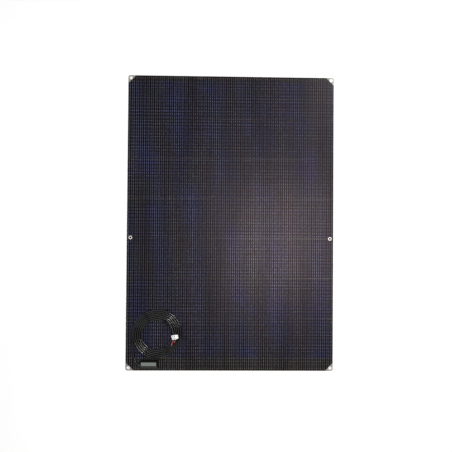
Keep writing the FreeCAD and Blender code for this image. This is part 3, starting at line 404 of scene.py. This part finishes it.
CORNER_CUT = 24.25 * MM           # legs of the sheet's cut corners
RELIEF = 0.10 * MM                # how far its threads stand proud of the hollows between them
STEPS = 4                         # mesh lines in each spacing
EDGE_CLEAR = 0.2                  # share of a step that those lines keep from the sheet's edges
HOLE = 4.1 * MM                   # radius of the hole round a side eyelet's barrel, under its flange
HOLE_PATCH = 6.5 * MM             # half the width of the mesh that is remade round it


def lattice(low, high, pitch):
    """Mesh lines from low to high, STEPS of them in each spacing, and the height of the threads there."""
    step = pitch / STEPS
    inner = np.arange(math.ceil(low / step + EDGE_CLEAR), math.floor(high / step - EDGE_CLEAR) + 1) * step
    lines = np.concatenate(([low], inner, [high]))
    return lines, (0.5 + 0.5 * np.cos(2 * np.pi * lines / pitch)) ** 2


def embossed_top():
    """The sheet's top as a whole rectangle, with its threads in relief."""
    xs, ridge_x = lattice(sheet_low.x, sheet_high.x, THREAD_X)
    ys, ridge_y = lattice(sheet_low.y, sheet_high.y, THREAD_Y)
    height = sheet_high.z - RELIEF * (1 - np.maximum(ridge_x[None, :], ridge_y[:, None]))
    grid = np.stack([*np.meshgrid(xs, ys), height], axis=-1).reshape(-1, 3)
    count = len(xs)
    corner = (np.arange(len(ys) - 1)[:, None] * count + np.arange(count - 1)[None, :]).ravel()
    quads = np.stack([corner, corner + 1, corner + count + 1, corner + count], axis=-1)
    mesh = bpy.data.meshes.new("front_sheet_embossed")
    mesh.from_pydata(grid.tolist(), [], quads.tolist())
    return mesh


def cut_corners(sheet):
    reach = sheet_high.x + sheet_high.y - CORNER_CUT
    for right in (-1, 1):
        for up in (-1, 1):
            way = Vector((right, up, 0)).normalized()
            bmesh.ops.bisect_plane(
                sheet, geom=[*sheet.verts, *sheet.edges, *sheet.faces],
                plane_co=way * (reach / math.sqrt(2)), plane_no=way, clear_outer=True)


def open_hole(sheet, middle):
    """Take a patch out of the mesh, and join the patch's rim to the hole's circle."""
    def in_patch(vert):
        return max(abs(vert.co.x - middle.x), abs(vert.co.y - middle.y)) < HOLE_PATCH

    patch = [face for face in sheet.faces if all(in_patch(vert) for vert in face.verts)]
    rim = [edge for face in patch for edge in face.edges
           if sum(other in patch for other in edge.link_faces) == 1]
    bmesh.ops.delete(sheet, geom=patch, context="FACES")
    ring = {}
    for edge in rim:
        for vert in edge.verts:
            if vert not in ring:
                away = (vert.co - middle).to_2d().normalized() * HOLE
                ring[vert] = sheet.verts.new(middle + away.to_3d())
    for edge in rim:
        first, second = edge.verts
        if (first.co - middle).to_2d().angle_signed((second.co - middle).to_2d()) > 0:
            first, second = second, first
        sheet.faces.new((first, second, ring[second], ring[first]))


def close_below(sheet):
    """Walls down from every edge of the top, and a flat underside."""
    rim = [edge for edge in sheet.edges if edge.is_boundary]
    walls = bmesh.ops.extrude_edge_only(sheet, edges=rim)["geom"]
    foot = {vert for vert in walls if isinstance(vert, bmesh.types.BMVert)}
    for vert in foot:
        vert.co.z = sheet_low.z
    under = [edge for edge in walls if isinstance(edge, bmesh.types.BMEdge) and set(edge.verts) <= foot]
    bmesh.ops.triangle_fill(sheet, edges=under, use_beauty=False)


def make_front_sheet():
    """The front sheet with its embossed threads, its cut corners and its two eyelet holes."""
    mesh = embossed_top()
    sheet = bmesh.new()
    sheet.from_mesh(mesh)
    cut_corners(sheet)
    eyelet_low, eyelet_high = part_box("side_eyelets")
    flange = (eyelet_high.y - eyelet_low.y) / 2
    for middle_x in (eyelet_low.x + flange, eyelet_high.x - flange):
        open_hole(sheet, Vector((middle_x, eyelet_low.y + flange, sheet_high.z - RELIEF)))
    bmesh.ops.recalc_face_normals(sheet, faces=sheet.faces)
    close_below(sheet)
    bmesh.ops.recalc_face_normals(sheet, faces=sheet.faces)
    for face in sheet.faces:
        face.smooth = face.normal.z > 0.5
    sheet.to_mesh(mesh)
    sheet.free()
    mesh.materials.append(MATERIALS["front_skin"])
    piece = link(bpy.data.objects.new("front_sheet_embossed", mesh))
    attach(piece, PANEL)
    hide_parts("front_sheet")


make_front_sheet()

for part in frame["record"]["subparts"]:
    for place in nodes[part["node"]].material_slots:
        place.material = MATERIALS[part["material_slot"]]
cable.data.materials.append(MATERIALS["sheath"])


# ---------------------------------------------------------------- floor and light

FLOOR_REACH = 6.0
FLOOR_TOP = -0.4 * MM             # just under the plate's back
WORLD_COLOUR, WORLD_STRENGTH = (0.95, 0.97, 1.0, 1), 0.29


def area_light(name, place, aim, size, power, colour=(1, 1, 1)):
    light = bpy.data.lights.new(name, "AREA")
    light.shape = "RECTANGLE"
    light.size, light.size_y = size
    light.energy = power
    light.color = colour
    obj = link(bpy.data.objects.new(name, light))
    obj.location = place
    obj.rotation_euler = (Vector(aim) - Vector(place)).to_track_quat("-Z", "Y").to_euler()


floor_mesh = bpy.data.meshes.new("floor")
floor_corners = [
    (right * FLOOR_REACH, up * FLOOR_REACH, FLOOR_TOP) for right, up in ((-1, -1), (1, -1), (1, 1), (-1, 1))]
floor_mesh.from_pydata(floor_corners, [], [(0, 1, 2, 3)])
floor = link(bpy.data.objects.new("floor", floor_mesh))
floor.data.materials.append(mottled(
    "floor_white", dark=grey(0.90), light=grey(0.92), rough=(0.8, 0.9),
    scale=2, grain=40, depth=1e-5, specular_ior_level=0.1))

# the first shines on the threads right of the middle, and the second on the coil's strands
area_light(
    "sheen_light", place=(0.44, -0.05, 2.3), aim=(0.2, -0.05, 0.0), size=(0.7, 0.7), power=27,
    colour=(1.0, 0.95, 0.92))
area_light("strand_light", place=(1.25, 1.25, 2.6), aim=(0, 0, 0), size=(0.35, 0.35), power=40)
area_light(
    "left_light", place=(-2.4, 0.8, 1.3), aim=(0, 0, 0), size=(1.6, 1.6), power=18,
    colour=(0.92, 0.96, 1.0))
area_light("front_light", place=(-0.4, -2.6, 1.3), aim=(0, 0, 0), size=(2.0, 1.2), power=24)
world = bpy.data.worlds.new("room")
world.use_nodes = True
world.node_tree.nodes["Background"].inputs["Color"].default_value = WORLD_COLOUR
world.node_tree.nodes["Background"].inputs["Strength"].default_value = WORLD_STRENGTH
scene.world = world

bpy.context.view_layer.update()
